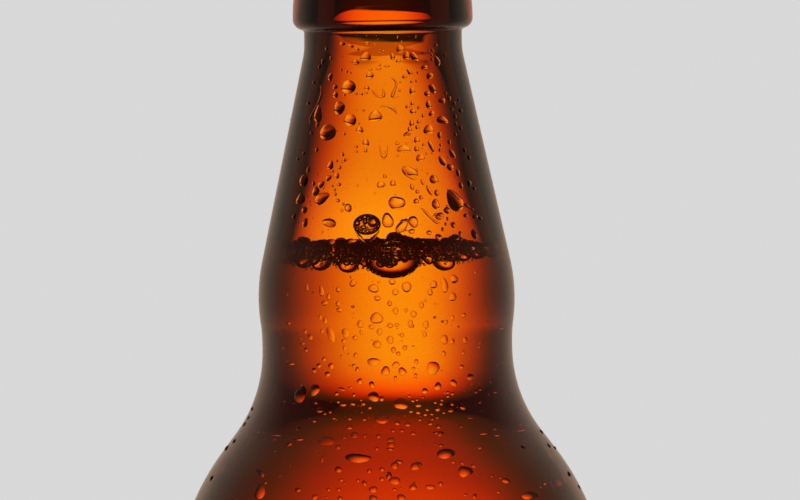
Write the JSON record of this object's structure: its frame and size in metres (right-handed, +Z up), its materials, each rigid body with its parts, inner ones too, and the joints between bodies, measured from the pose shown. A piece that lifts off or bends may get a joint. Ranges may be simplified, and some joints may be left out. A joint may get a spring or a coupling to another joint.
{
  "type": "beer bottle",
  "caption": "Filled amber glass beer bottle with a bulged neck, round shoulder, carrying ring and crimped crown cap.",
  "frame": {"origin": "middle of the surface that the bottle stands on, on its axis", "axes": "+Z up along the bottle's axis, towards the cap; -Y is the side with the largest bubble"},
  "size_m": [0.0696, 0.0696, 0.2448],
  "materials": {
    "amber_glass": "polished amber glass, misted with cold droplets",
    "beer": "clear golden liquid",
    "foam": "a loose layer of clear bubbles",
    "cap_metal": "gold lacquered tinplate, satin"
  },
  "bodies": {
    "root": {"bottle": "amber_glass", "beer": "beer", "foam": "foam", "crown_cap": "cap_metal"}
  },
  "joints": []
}
